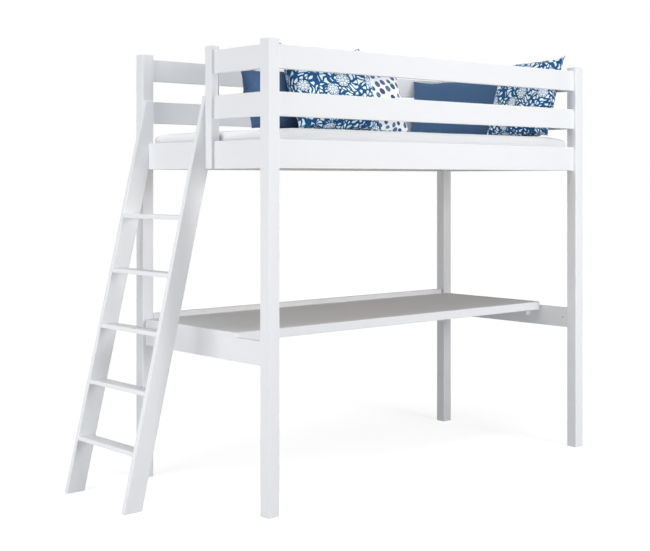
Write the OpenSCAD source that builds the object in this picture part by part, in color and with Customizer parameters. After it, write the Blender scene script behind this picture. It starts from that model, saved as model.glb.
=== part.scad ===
// Cabin bed: a high single bed on four posts, with guard rails all round, an inclined
// ladder at the left end and a desk plate carried between the posts under the bed.
// Frame: +X runs along the bed away from the ladder, +Y to the back, +Z up. The origin
// is on the floor, under the middle of the outline over the bed and its ladder.

/* [Mattress] */
// Length of the mattress that the bed is made for
mattress_length = 2000; // [1800:10:2200]
// Width of the mattress
mattress_width = 900; // [800:10:1200]
// Thickness of the mattress
mattress_thickness = 120; // [80:5:180]
// Free space between the mattress and each end rail
mattress_end_gap = 16; // [5:1:30]
// Free space between the mattress and each side rail
mattress_side_gap = 12; // [5:1:30]
// Plan radius of the mattress corners
mattress_corner = 40; // [40:5:120]
// Radius of the mattress's long edges
mattress_edge = 24; // [10:1:38]

/* [Frame] */
// Side of the square corner posts
post_side = 60; // [54:1:80]
// Rounding of the posts' upright edges
post_edge = 5; // [1:0.5:8]
// Thickness of every rail board
board_thickness = 28; // [24:1:32]
// Rounding of the rail boards' long edges
board_edge = 3; // [1:0.5:6]
// How far the rails stand back from the posts' outer faces
rail_setback = 16; // [8:1:20]
// Height of the top of the bed rails above the floor
bed_rail_top = 1580; // [1400:10:1800]
// Height of the bed rail boards
bed_rail_height = 123; // [110:1:160]

/* [Guard rails] */
// Height of the guard rail boards and of the crossbars under the desk
guard_height = 103; // [80:1:120]
// Free height below each guard rail
guard_gap = 97; // [50:1:120]
// How far the posts stand up past the upper guard rails
post_rise = 20; // [5:1:60]
// Width of the short guard post beside the ladder
guard_post_width = 48; // [40:1:70]

/* [Slats] */
// Number of slats
slat_count = 13; // [10:1:15]
// Width of a slat
slat_width = 80; // [60:1:90]
// Thickness of a slat
slat_thickness = 18; // [14:1:22]
// Depth of the housings in which the slats lie
slat_housing = 5; // [2:0.5:8]
// Distance of the first and last slat from the end rails
slat_end_gap = 70; // [40:1:90]
// Width of the ledgers that carry the slats
ledger_width = 30; // [24:1:40]
// Height of the wood under a slat in its ledger
ledger_height = 30; // [22:1:36]
// How far the ledgers stand up from the lower edge of the bed rails
ledger_rise = 9; // [2:1:20]

/* [Ladder] */
// Distance of the ladder's foot from the posts' outer faces
ladder_reach = 416; // [300:1:600]
// How far the top of the ladder stands in past the posts' outer faces
ladder_top_in = 3; // [0:0.5:8]
// Width of the ladder over its stiles
ladder_width = 500; // [420:1:560]
// Thickness of the ladder stiles
stile_thickness = 24; // [20:1:30]
// Width of a stile across its length
stile_width = 89; // [82:1:110]
// Number of steps
step_count = 5; // [3:1:5]
// Height of the first step's top above the floor
first_step_top = 252; // [200:1:280]
// Rise from one step to the next
step_pitch = 250; // [220:1:270]
// Depth of a step from front to back
step_depth = 69; // [60:1:76]
// Thickness of a step
step_thickness = 20; // [18:1:28]

/* [Desk] */
// Height of the desk's upper face above the floor
desk_height = 750; // [650:5:900]
// Thickness of the desk plate
desk_thickness = 42; // [34:1:50]
// Depth of the desk plate, forward of the back posts
desk_depth = 705; // [450:5:850]
// Plan radius of the desk plate's front corners
desk_corner = 20; // [5:1:60]
// Rounding of the desk plate's front edge
desk_edge = 3; // [1:0.5:6]
// Thickness left of the desk plate where it laps over the left crossbar
desk_lap = 21; // [16:1:28]
// How far the strip behind the desk stands up above the plate
upstand_rise = 25; // [10:1:80]
// Thickness of that strip
upstand_thickness = 18; // [12:1:24]
// How far that strip ends short of the right back post
upstand_short = 23; // [5:1:80]
// Side of the cleat that carries the right end of the plate
cleat_side = 34; // [28:1:40]
// Length of that cleat
cleat_length = 560; // [300:10:650]

/* [Fixings] */
// Thickness of the stub tenons on the rails
tenon_thickness = 12; // [9:0.5:14]
// Length of the stub tenons on the rails
tenon_length = 15; // [8:1:17]
// Height of the shoulder above and below a rail's tenon
tenon_shoulder = 15; // [8:1:22]
// Diameter of the bed bolts' studs
stud_diameter = 6; // [5:0.5:7]
// Length of a stud inside the rail
stud_in_rail = 52; // [40:1:70]
// Length of a stud inside the post
stud_in_post = 24; // [18:1:26]
// Diameter of the barrel nuts
barrel_diameter = 10; // [9:0.5:14]
// Distance of a barrel nut from the rail's end
barrel_inset = 40; // [20:1:44]
// Diameter of a screw's shank
screw_diameter = 4; // [3:0.5:5]
// Diameter of a screw's countersunk head
screw_head = 8; // [7:0.5:10]
// Diameter of the dowels that hold the desk plate's lap
dowel_diameter = 8; // [6:0.5:9]
// Length of those dowels
dowel_length = 30; // [20:1:32]
// Clearance of a fixing or a tenon in its hole
fit_gap = 0.2; // [0.1:0.05:0.4]

/* [Cushions] */
// Side of the two flowered cushions
floral_side = 450; // [350:10:500]
// Thickness of the flowered cushions
floral_thickness = 128; // [80:2:132]
// Side of the dotted cushion
dotted_side = 400; // [350:10:420]
// Thickness of the dotted cushion
dotted_thickness = 112; // [80:2:120]
// Width of the plain cushion at the ladder end
plain_left_width = 500; // [400:10:510]
// Height of the plain cushion at the ladder end
plain_left_height = 300; // [250:10:310]
// Width of the plain cushion at the far end
plain_right_width = 550; // [450:10:560]
// Height of the plain cushion at the far end
plain_right_height = 350; // [280:10:370]
// Thickness of the plain cushions
plain_thickness = 108; // [80:2:112]
// How far the middle of a cushion's edge is drawn in
cushion_draw = 13; // [5:1:20]
// The same at the far flowered cushion, which is filled less tightly
slack_draw = 34; // [5:1:40]
// Air under a soft piece that lies on another one
soft_gap = 0.3; // [0.2:0.1:1]

/* [Hidden] */
// Spans between the rail faces, the posts and the outer faces
inner_inset = rail_setback + board_thickness;
bed_length = mattress_length + 2 * (mattress_end_gap + inner_inset);
bed_width = mattress_width + 2 * (mattress_side_gap + inner_inset);
span_x = bed_length - 2 * post_side;
span_y = bed_width - 2 * post_side;
origin_x = (bed_length - ladder_reach) / 2;
origin_y = bed_width / 2;

// Heights, stacked from the bed rails
bed_rail_bottom = bed_rail_top - bed_rail_height;
guard_low_bottom = bed_rail_top + guard_gap;
guard_low_top = guard_low_bottom + guard_height;
guard_high_bottom = guard_low_top + guard_gap;
post_height = guard_high_bottom + guard_height + post_rise;
crossbar_bottom = desk_height - desk_lap - guard_height;
desk_bottom = desk_height - desk_thickness;
ledger_bottom = bed_rail_bottom + ledger_rise;
slat_bottom = ledger_bottom + ledger_height;
slat_top = slat_bottom + slat_thickness;
mattress_bottom = slat_top + soft_gap;
mattress_top = mattress_bottom + mattress_thickness;

// Places along Y at the ladder end
stile_back_y = bed_width - post_side - stile_thickness;
stile_front_y = bed_width - post_side - ladder_width;
guard_post_y = stile_front_y - guard_post_width;
step_length = ladder_width - 2 * stile_thickness;

// The ladder's slope, and its outer edge line at height z
ladder_slope = (ladder_reach + ladder_top_in) / guard_low_top;
stile_run = stile_width * sqrt(1 + ladder_slope * ladder_slope);
function outer_edge_x(z) = ladder_slope * z - ladder_reach;

// Slats: the pitch that spreads them evenly between the end rails
slat_first_x = inner_inset + slat_end_gap;
slat_pitch = (bed_length - 2 * slat_first_x - slat_width) / (slat_count - 1);
function slat_x(i) = slat_first_x + i * slat_pitch;

// Desk plate: from the left crossbar's outer face to the right crossbar's inner face
desk_left = rail_setback;
desk_right = bed_length - inner_inset;
desk_back = bed_width - post_side;
desk_front = desk_back - desk_depth;
cleat_y = (desk_front + desk_back - cleat_length) / 2;
upstand_length = span_x - upstand_short;
upstand_drop = desk_thickness / 2 + upstand_thickness;

// The plate's arrises are set in by a third of their height
desk_edge_inset = desk_edge / 3;

// Fixings
barrel_edge = 4;
screw_sink = 3;
step_tenon_length = 10;
step_tenon_inset = 8;
step_tenon_shoulder = 4;
end_screw_inset = 34;

// A screw's hold in the second piece, or the wood left past its tip there
screw_bite = 32;
skin_past_tip = 6;
skin_in_guard_post = 4;
skin_in_desk = 12;
ladder_screw_length = board_thickness + screw_bite;
guard_screw_length = board_thickness + rail_setback - skin_in_guard_post;
ledger_screw_length = ledger_width + board_thickness - skin_past_tip;
upstand_screw_length = upstand_thickness + screw_bite;
cleat_screw_length = cleat_side + desk_thickness - skin_in_desk;
crossbar_screw_length = cleat_side + board_thickness - skin_past_tip;

// Sides of the round forms, and how far a cutter runs past what it cuts
small_sides = 14;
edge_sides = 16;
desk_corner_sides = 2 * edge_sides;
mattress_edge_sides = 20;
mattress_corner_sides = 28;
past = 1;

// Posts: name and the corner nearest the origin of the bed's own outline
POSTS = [
    ["post_front_left", [0, 0]],
    ["post_front_right", [bed_length - post_side, 0]],
    ["post_back_left", [0, bed_width - post_side]],
    ["post_back_right", [bed_length - post_side, bed_width - post_side]]];

// Rails: name, side, post at the start, post at the end, length, lower edge, height,
// and whether bed bolts draw the joint together
RAILS = [
    ["side_rail_front", "front", "post_front_left", "post_front_right",
        span_x, bed_rail_bottom, bed_rail_height, true],
    ["side_rail_back", "back", "post_back_left", "post_back_right",
        span_x, bed_rail_bottom, bed_rail_height, true],
    ["end_rail_left", "left", "post_front_left", "post_back_left",
        span_y, bed_rail_bottom, bed_rail_height, true],
    ["end_rail_right", "right", "post_front_right", "post_back_right",
        span_y, bed_rail_bottom, bed_rail_height, true],
    ["guard_front_lower", "front", "post_front_left", "post_front_right",
        span_x, guard_low_bottom, guard_height, false],
    ["guard_front_upper", "front", "post_front_left", "post_front_right",
        span_x, guard_high_bottom, guard_height, false],
    ["guard_back_lower", "back", "post_back_left", "post_back_right",
        span_x, guard_low_bottom, guard_height, false],
    ["guard_back_upper", "back", "post_back_left", "post_back_right",
        span_x, guard_high_bottom, guard_height, false],
    ["guard_right_lower", "right", "post_front_right", "post_back_right",
        span_y, guard_low_bottom, guard_height, false],
    ["guard_right_upper", "right", "post_front_right", "post_back_right",
        span_y, guard_high_bottom, guard_height, false],
    ["guard_left_lower", "left", "post_front_left", "guard_post",
        guard_post_y - post_side, guard_low_bottom, guard_height, false],
    ["guard_left_upper", "left", "post_front_left", "guard_post",
        guard_post_y - post_side, guard_high_bottom, guard_height, false],
    ["desk_crossbar_left", "left", "post_front_left", "post_back_left",
        span_y, crossbar_bottom, guard_height, true],
    ["desk_crossbar_right", "right", "post_front_right", "post_back_right",
        span_y, crossbar_bottom, guard_height, true]];
BOLTED_RAILS = [for (r = RAILS) if (r[7]) r];

// Cushions: name, width, height, thickness, colour, foot point on the mattress, the
// turns about the upright, backwards and within their own plane, and how far the
// edges are drawn in
CUSHIONS = [
    ["cushion_floral_left", floral_side, floral_side, floral_thickness, "royalblue",
        [562, 176], -10, 27, -0.7, cushion_draw],
    ["cushion_dotted", dotted_side, dotted_side, dotted_thickness, "lightsteelblue",
        [850, 270], -16, 25.5, 0, cushion_draw],
    ["cushion_plain_left", plain_left_width, plain_left_height, plain_thickness, "steelblue",
        [419, 351], 3, 17, 0, cushion_draw],
    ["cushion_floral_right", floral_side, floral_side, floral_thickness, "royalblue",
        [bed_length - 225, 272], -91, 19.5, 0.8, slack_draw],
    ["cushion_plain_right", plain_right_width, plain_right_height, plain_thickness,
        "steelblue", [bed_length - 270, 675], -64, 16, 0, cushion_draw]];
cushion_cells = 14;

STEP_NAMES = [for (i = [1:step_count]) str("step_", i)];
SLAT_NAMES = [for (i = [1:slat_count]) str("slat_", i)];

// ---- helpers ------------------------------------------------------------------

// Moves the bed's own outline, which starts at its front left post, onto the origin
module placed() {
    translate([-origin_x, -origin_y, 0]) children();
}

// A rectangle from the origin with rounded corners
module rounded_rect(width, height, radius) {
    translate([radius, 0]) square([width - 2 * radius, height]);
    translate([0, radius]) square([width, height - 2 * radius]);
    for (x = [radius, width - radius], y = [radius, height - radius])
        translate([x, y]) circle(r = radius, $fn = edge_sides);
}

// A board along X with its four long edges rounded
module board(length, thickness, height, radius) {
    rotate([90, 0, 90]) linear_extrude(length) rounded_rect(thickness, height, radius);
}

// A frame for the rails of one side: X along the rail from its first post, Y from the
// rail's outer face inwards
module on_side(side) {
    if (side == "front") translate([post_side, rail_setback, 0]) children();
    if (side == "back")
        translate([post_side, bed_width - rail_setback, 0]) mirror([0, 1, 0]) children();
    if (side == "left")
        translate([rail_setback, post_side, 0]) mirror([1, -1, 0]) children();
    if (side == "right")
        translate([bed_length - rail_setback, post_side, 0]) rotate([0, 0, 90]) children();
}

// A frame at one end of a rail: +X points out of the rail into its post
module at_rail_end(rail, last) {
    on_side(rail[1])
        translate([last ? rail[4] : 0, 0, rail[5]])
            mirror([last ? 0 : 1, 0, 0]) children();
}

// The stub tenon on a rail's end, or with a gap its mortise in the post
module tenon(height, gap) {
    translate([-past, (board_thickness - tenon_thickness) / 2 - gap, tenon_shoulder - gap])
        cube([tenon_length + past + gap,
            tenon_thickness + 2 * gap,
            height - 2 * tenon_shoulder + 2 * gap]);
}

// The stud of a bed bolt, or with a gap its bore
module stud(height, gap) {
    translate([-stud_in_rail - gap, board_thickness / 2, height / 2])
        rotate([0, 90, 0])
            cylinder(h = stud_in_rail + stud_in_post + 2 * gap,
                d = stud_diameter + 2 * gap, $fn = small_sides);
}

// The barrel nut on a stud
module barrel_nut(height) {
    translate([-barrel_inset, barrel_edge, height / 2])
        rotate([-90, 0, 0])
            cylinder(h = board_thickness - 2 * barrel_edge, d = barrel_diameter,
                $fn = small_sides);
}

// The pocket of a barrel nut, open to the rail's inner face
module barrel_pocket(height) {
    translate([-barrel_inset, barrel_edge - fit_gap, height / 2])
        rotate([-90, 0, 0])
            cylinder(h = board_thickness, d = barrel_diameter + 2 * fit_gap,
                $fn = small_sides);
}

// A countersunk screw that points along -Z, its head's face at the origin; with a gap
// it is the screw's hole
module screw(length, gap) {
    rotate_extrude($fn = small_sides)
        polygon([
            [0, gap > 0 ? past : 0],
            [screw_head / 2 + gap, gap > 0 ? past : 0],
            [screw_head / 2 + gap, 0],
            [screw_diameter / 2 + gap, -screw_sink],
            [screw_diameter / 2 + gap, -length - gap],
            [0, -length - gap]]);
}

// ---- posts and rails ----------------------------------------------------------

// What the rails that meet a post take out of it
module rail_sockets(post_name) {
    for (r = RAILS, last = [false, true])
        if (r[last ? 3 : 2] == post_name)
            at_rail_end(r, last) {
                tenon(r[6], fit_gap);
                if (r[7]) stud(r[6], fit_gap);
            }
}

module corner_post(post) {
    color("whitesmoke") placed() difference() {
        translate([post[1].x, post[1].y, 0])
            linear_extrude(post_height) rounded_rect(post_side, post_side, post_edge);
        rail_sockets(post[0]);
    }
}

// The short post beside the ladder: it stands on the end rail and laps over its face
module guard_post() {
    color("whitesmoke") placed() difference() {
        translate([0, guard_post_y, bed_rail_bottom])
            cube([inner_inset, guard_post_width, post_height - bed_rail_bottom]);
        translate([rail_setback, guard_post_y - past, bed_rail_bottom - past])
            cube([board_thickness + past, guard_post_width + 2 * past,
                bed_rail_height + past]);
        rail_sockets("guard_post");
        for (z = end_screw_heights) guard_screw(z, fit_gap);
    }
}

// A rail with its tenons, the bores for its bed bolts and the pockets of their nuts
module rail_board(rail) {
    difference() {
        union() {
            on_side(rail[1]) translate([0, 0, rail[5]])
                board(rail[4], board_thickness, rail[6], board_edge);
            for (last = [false, true]) at_rail_end(rail, last) tenon(rail[6], 0);
        }
        if (rail[7])
            for (last = [false, true])
                at_rail_end(rail, last) {
                    stud(rail[6], fit_gap);
                    barrel_pocket(rail[6]);
                }
    }
}

module rail(rail) {
    color("whitesmoke") placed() difference() {
        rail_board(rail);
        if (rail[0] == "side_rail_front" || rail[0] == "side_rail_back")
            on_side(rail[1])
                translate([-post_side, -rail_setback, 0]) ledger_screw_row(fit_gap);
        if (rail[0] == "end_rail_left") end_screws(fit_gap);
        if (rail[0] == "desk_crossbar_left") lap_dowels(fit_gap);
        if (rail[0] == "desk_crossbar_right") crossbar_screws(fit_gap);
    }
}

module bed_bolt_studs() {
    color("silver") placed()
        for (r = BOLTED_RAILS, last = [false, true])
            at_rail_end(r, last) stud(r[6], 0);
}

module barrel_nuts() {
    color("silver") placed()
        for (r = BOLTED_RAILS, last = [false, true])
            at_rail_end(r, last) difference() {
                barrel_nut(r[6]);
                stud(r[6], fit_gap);
            }
}

// ---- slats --------------------------------------------------------------------

// Where a ledger's screws lie along the row of gaps between its slats
ledger_screw_shares = [0.1, 0.37, 0.63, 0.9];
last_slat_gap = slat_count - 2;
function slat_gap_x(i) = slat_x(i) + (slat_width + slat_pitch) / 2;

// The screws of the front ledger, or with a gap their holes
module ledger_screw_row(gap) {
    for (share = ledger_screw_shares)
        translate([slat_gap_x(floor(share * last_slat_gap)),
            inner_inset + ledger_width, ledger_bottom + ledger_height / 2])
            rotate([-90, 0, 0]) screw(ledger_screw_length, gap);
}

// The front ledger: a batten with a housing for every slat
module ledger() {
    difference() {
        translate([post_side, inner_inset, ledger_bottom])
            cube([span_x, ledger_width, ledger_height + slat_housing]);
        for (i = [0:slat_count - 1])
            translate([slat_x(i) - fit_gap, inner_inset - past, slat_bottom])
                cube([slat_width + 2 * fit_gap, ledger_width + 2 * past,
                    slat_housing + past]);
        ledger_screw_row(fit_gap);
    }
}

module slat_ledger_front() {
    color("burlywood") placed() ledger();
}

module slat_ledger_back() {
    color("burlywood") placed() translate([0, bed_width, 0]) mirror([0, 1, 0]) ledger();
}

module slat(i) {
    color("burlywood") placed()
        translate([slat_x(i), inner_inset + fit_gap, slat_bottom])
            cube([slat_width, bed_width - 2 * (inner_inset + fit_gap), slat_thickness]);
}

module ledger_screws() {
    color("silver") placed() {
        ledger_screw_row(0);
        translate([0, bed_width, 0]) mirror([0, 1, 0]) ledger_screw_row(0);
    }
}

// ---- ladder -------------------------------------------------------------------

// The stub tenons at a step's two ends, or with a gap their mortises in the stiles
module step_tenons(i, gap) {
    top = first_step_top + i * step_pitch;
    translate([outer_edge_x(top) + step_tenon_inset - gap,
        stile_front_y + stile_thickness - step_tenon_length - gap,
        top - step_thickness + step_tenon_shoulder - gap])
        cube([step_depth - 2 * step_tenon_inset + 2 * gap,
            step_length + 2 * step_tenon_length + 2 * gap,
            step_thickness - 2 * step_tenon_shoulder + 2 * gap]);
}

module ladder_step(i) {
    top = first_step_top + i * step_pitch;
    color("whitesmoke") placed() {
        translate([outer_edge_x(top), stile_front_y + stile_thickness,
            top - step_thickness])
            mirror([1, -1, 0])
                board(step_length, step_depth, step_thickness, board_edge);
        step_tenons(i, 0);
    }
}

// A stile leans from the floor to the end rail, sits on that rail's top and stands up
// inside it to the level of the lower guard rails
module stile(y) {
    color("whitesmoke") placed() difference() {
        translate([0, y + stile_thickness, 0])
            rotate([90, 0, 0])
                linear_extrude(stile_thickness)
                    polygon([
                        [outer_edge_x(0), 0],
                        [outer_edge_x(0) + stile_run, 0],
                        [outer_edge_x(guard_low_top) + stile_run, guard_low_top],
                        [outer_edge_x(guard_low_top), guard_low_top]]);
        translate([rail_setback, y - past, 0])
            cube([stile_run, stile_thickness + 2 * past, bed_rail_top]);
        translate([inner_inset, y - past, bed_rail_top - past])
            cube([stile_run, stile_thickness + 2 * past, guard_low_top]);
        for (i = [0:step_count - 1]) step_tenons(i, fit_gap);
        for (z = end_screw_heights) ladder_screw(y, z, fit_gap);
    }
}

module ladder_stile_front() {
    stile(stile_front_y);
}

module ladder_stile_back() {
    stile(stile_back_y);
}

// Screws through the left end rail from inside, into the stiles and the guard post
end_screw_heights = [bed_rail_bottom + end_screw_inset, bed_rail_top - end_screw_inset];

module end_screw(y, z, length, gap) {
    translate([inner_inset, y, z]) rotate([0, 90, 0]) screw(length, gap);
}

module ladder_screw(y, z, gap) {
    end_screw(y + stile_thickness / 2, z, ladder_screw_length, gap);
}

module guard_screw(z, gap) {
    end_screw(guard_post_y + guard_post_width / 2, z, guard_screw_length, gap);
}

module end_screws(gap) {
    for (z = end_screw_heights) {
        ladder_screw(stile_front_y, z, gap);
        ladder_screw(stile_back_y, z, gap);
        guard_screw(z, gap);
    }
}

module ladder_screws() {
    color("silver") placed() end_screws(0);
}

// ---- desk ---------------------------------------------------------------------

// Plan of the desk plate: square at the back, rounded at its two front corners
module desk_plan(inset) {
    width = desk_right - desk_left;
    translate([desk_left + inset, desk_front + desk_corner])
        square([width - 2 * inset, desk_depth - desk_corner]);
    translate([desk_left + desk_corner, desk_front + inset])
        square([width - 2 * desk_corner, desk_corner]);
    for (x = [desk_left + desk_corner, desk_right - desk_corner])
        translate([x, desk_front + desk_corner])
            circle(r = desk_corner - inset, $fn = desk_corner_sides);
}

module desk_top() {
    color("white") placed() difference() {
        union() {
            translate([0, 0, desk_bottom + desk_edge])
                linear_extrude(desk_thickness - 2 * desk_edge) desk_plan(0);
            translate([0, 0, desk_bottom]) linear_extrude(desk_thickness)
                desk_plan(desk_edge_inset);
        }
        translate([desk_left - past, desk_front - past, desk_bottom - past])
            cube([board_thickness + past, desk_depth + 2 * past,
                desk_thickness - desk_lap + past]);
        lap_dowels(fit_gap);
        cleat_screws(fit_gap);
        upstand_screws(fit_gap);
    }
}

module desk_upstand() {
    color("whitesmoke") placed() difference() {
        translate([post_side, desk_back, desk_height - upstand_drop])
            board(upstand_length, upstand_thickness, upstand_drop + upstand_rise, board_edge);
        upstand_screws(fit_gap);
    }
}

module desk_cleat() {
    color("whitesmoke") placed() difference() {
        translate([desk_right - cleat_side, cleat_y, desk_bottom - cleat_side])
            cube([cleat_side, cleat_length, cleat_side]);
        cleat_screws(fit_gap);
        crossbar_screws(fit_gap);
    }
}

// Where the desk's fixings lie along the piece that they hold
fixing_shares = [0.12, 0.5, 0.88];
cross_shares = [0.3, 0.7];
upstand_shares = [0.04, 0.27, 0.5, 0.73, 0.96];

// Dowels between the left crossbar's top edge and the lap of the plate
module lap_dowels(gap) {
    for (share = fixing_shares)
        translate([rail_setback + board_thickness / 2, desk_front + desk_depth * share,
            desk_height - desk_lap - dowel_length / 2 - gap])
            cylinder(h = dowel_length + 2 * gap, d = dowel_diameter + 2 * gap,
                $fn = small_sides);
}

// Screws up through the cleat into the plate
module cleat_screws(gap) {
    for (share = fixing_shares)
        translate([desk_right - cleat_side / 2, cleat_y + cleat_length * share,
            desk_bottom - cleat_side])
            rotate([180, 0, 0]) screw(cleat_screw_length, gap);
}

// Screws through the cleat into the right crossbar
module crossbar_screws(gap) {
    for (share = cross_shares)
        translate([desk_right - cleat_side, cleat_y + cleat_length * share,
            desk_bottom - cleat_side / 2])
            rotate([0, -90, 0]) screw(crossbar_screw_length, gap);
}

// Screws through the upstand into the plate's back edge
module upstand_screws(gap) {
    for (share = upstand_shares)
        translate([post_side + upstand_length * share, desk_back + upstand_thickness,
            desk_bottom + desk_thickness / 2])
            rotate([-90, 0, 0]) screw(upstand_screw_length, gap);
}

module desk_screws() {
    color("silver") placed() {
        cleat_screws(0);
        crossbar_screws(0);
        upstand_screws(0);
    }
}

module desk_dowels() {
    color("burlywood") placed() lap_dowels(0);
}

// ---- soft pieces --------------------------------------------------------------

// Half outline of the mattress's edge, for a round corner
module mattress_profile() {
    intersection() {
        square([mattress_corner, mattress_thickness]);
        hull() {
            square([1, mattress_thickness]);
            for (z = [mattress_edge, mattress_thickness - mattress_edge])
                translate([mattress_corner - mattress_edge, z])
                    circle(r = mattress_edge, $fn = mattress_edge_sides);
        }
    }
}

module mattress() {
    color("white") placed()
        translate([inner_inset + mattress_end_gap, inner_inset + mattress_side_gap,
            mattress_bottom])
            hull()
                for (x = [mattress_corner, mattress_length - mattress_corner],
                    y = [mattress_corner, mattress_width - mattress_corner])
                    translate([x, y, 0])
                        rotate_extrude($fn = mattress_corner_sides) mattress_profile();
}

function rolled(p, a) = [p.x * cos(a) - p.z * sin(a), p.y, p.x * sin(a) + p.z * cos(a)];
function leaned(p, a) = [p.x, p.y * cos(a) + p.z * sin(a), p.z * cos(a) - p.y * sin(a)];
function swung(p, a) = [p.x * cos(a) - p.y * sin(a), p.x * sin(a) + p.y * cos(a), p.z];

// A point of a cushion: s and q run over -1 to 1 across its width and height, and face
// is -1 on its front and 1 on its back. The edges draw in between pointed corners and
// the crown swells to the full thickness in the middle.
function cushion_point(width, height, thickness, draw, s, q, face) =
    [s * (width / 2 - draw * (1 - q * q)),
        face * thickness / 2 * sqrt((1 - s * s) * (1 - q * q)),
        height / 2 + q * (height / 2 - draw * (1 - s * s))];

function cell_share(i) = sin(90 * (2 * i / cushion_cells - 1));

module cushion(c) {
    n = cushion_cells;
    front = [for (i = [0:n], j = [0:n])
        cushion_point(c[1], c[2], c[3], c[9], cell_share(i), cell_share(j), -1)];
    back = [for (i = [1:n - 1], j = [1:n - 1])
        cushion_point(c[1], c[2], c[3], c[9], cell_share(i), cell_share(j), 1)];
    turned = [for (p = concat(front, back)) swung(leaned(rolled(p, c[8]), c[7]), c[6])];
    lift = mattress_top + soft_gap - min([for (p = turned) p.z]);
    front_at = function(i, j) i * (n + 1) + j;
    back_at = function(i, j)
        i == 0 || i == n || j == 0 || j == n
            ? front_at(i, j) : (n + 1) * (n + 1) + (i - 1) * (n - 1) + j - 1;
    // Each cell is cut along the diagonal that runs towards its nearest corner
    function cell(i, j, at) =
        let(a = at(i, j), b = at(i, j + 1), c = at(i + 1, j + 1), d = at(i + 1, j))
            (2 * i < n) == (2 * j < n) ? [[a, b, c], [a, c, d]] : [[a, b, d], [b, c, d]];
    front_faces = [for (i = [0:n - 1], j = [0:n - 1]) each cell(i, j, front_at)];
    back_faces = [for (i = [0:n - 1], j = [0:n - 1], f = cell(i, j, back_at))
        [f[0], f[2], f[1]]];
    color(c[4]) placed()
        translate([c[5].x, c[5].y, lift]) polyhedron(turned, concat(front_faces, back_faces));
}

// ---- the bed ------------------------------------------------------------------

for (p = POSTS) corner_post(p);
guard_post();
for (r = RAILS) rail(r);
slat_ledger_front();
slat_ledger_back();
for (i = [0:slat_count - 1]) slat(i);
ladder_stile_front();
ladder_stile_back();
for (i = [0:step_count - 1]) ladder_step(i);
desk_top();
desk_upstand();
desk_cleat();
bed_bolt_studs();
barrel_nuts();
ladder_screws();
ledger_screws();
desk_screws();
desk_dowels();
mattress();
for (c = CUSHIONS) cushion(c);
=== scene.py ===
# A white cabin bed: tall posts, guard rails, an inclined ladder, a desk plate under the
# bed, a mattress and five loose cushions. Every length is in metres, in the frame's axes.
import math

import bmesh
import bpy
from mathutils import Matrix, Vector, noise
from mathutils.bvhtree import BVHTree


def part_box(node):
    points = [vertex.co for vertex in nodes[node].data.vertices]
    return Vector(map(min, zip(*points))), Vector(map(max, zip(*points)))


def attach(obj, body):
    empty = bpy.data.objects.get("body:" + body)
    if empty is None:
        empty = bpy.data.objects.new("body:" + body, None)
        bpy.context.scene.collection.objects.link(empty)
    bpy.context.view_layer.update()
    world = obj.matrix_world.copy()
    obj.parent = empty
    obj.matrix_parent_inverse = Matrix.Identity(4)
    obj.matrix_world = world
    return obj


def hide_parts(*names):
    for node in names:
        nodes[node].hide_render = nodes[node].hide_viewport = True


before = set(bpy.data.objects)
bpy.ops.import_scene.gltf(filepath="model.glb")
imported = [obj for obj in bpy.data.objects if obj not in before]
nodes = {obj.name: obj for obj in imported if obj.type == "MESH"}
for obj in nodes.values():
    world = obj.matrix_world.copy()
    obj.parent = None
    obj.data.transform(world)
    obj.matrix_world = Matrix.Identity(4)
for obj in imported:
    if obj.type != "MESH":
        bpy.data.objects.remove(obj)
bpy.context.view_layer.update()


# ---- Camera ----------------------------------------------------------------------
# A level camera left of the ladder, just under the height of the mattress. Its shift
# keeps the posts upright in the picture while the whole bed fits in.
camera = bpy.data.objects.new("camera", bpy.data.cameras.new("camera"))
bpy.context.scene.collection.objects.link(camera)
bpy.context.scene.camera = camera
camera.location = (-4.0709, -4.5542, 1.4097)
camera.rotation_euler = (math.radians(90), 0, math.radians(-42))
camera.data.sensor_width = 36
camera.data.lens = 68.9
camera.data.shift_x = -0.0308
camera.data.shift_y = -0.1476


# ---- Studio ----------------------------------------------------------------------
# An even white room. The pale floor looks white in full light and keeps the bed's faint
# shadow. Broad lights stand in front and beside the ladder, and one hangs overhead.
def socket_value(node, **values):
    """Sets sockets of a node by their names, with underscores for spaces."""
    for name, value in values.items():
        node.inputs[name.replace("_", " ")].default_value = value
    return node


def new_material(name):
    """A material with its node tree and its one shader."""
    material = bpy.data.materials.new(name)
    material.use_nodes = True
    tree = material.node_tree
    return material, tree, tree.nodes["Principled BSDF"]


def plug(tree, value, socket):
    """Joins a value to a socket, where the value is another socket or a constant."""
    if isinstance(value, bpy.types.NodeSocket):
        tree.links.new(value, socket)
    else:
        socket.default_value = value


def calc(tree, operation, *values):
    """The result of a Math node on sockets or numbers."""
    node = tree.nodes.new("ShaderNodeMath")
    node.operation = operation
    for value, socket in zip(values, node.inputs):
        plug(tree, value, socket)
    return node.outputs[0]


def vector_calc(tree, operation, *values):
    """The result of a Vector Math node on sockets, numbers or vectors."""
    node = tree.nodes.new("ShaderNodeVectorMath")
    node.operation = operation
    for value, socket in zip(values, node.inputs):
        plug(tree, value, socket)
    return node.outputs["Value" if operation in ("LENGTH", "DOT_PRODUCT") else "Vector"]


def shown_to_eye(tree):
    """1 for what the camera sees, directly, mirrored or through glass, and 0 for light."""
    path = tree.nodes.new("ShaderNodeLightPath")
    seen = calc(
        tree, "MAXIMUM", path.outputs["Is Camera Ray"], path.outputs["Is Glossy Ray"])
    return calc(tree, "MAXIMUM", seen, path.outputs["Is Transmission Ray"])


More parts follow.
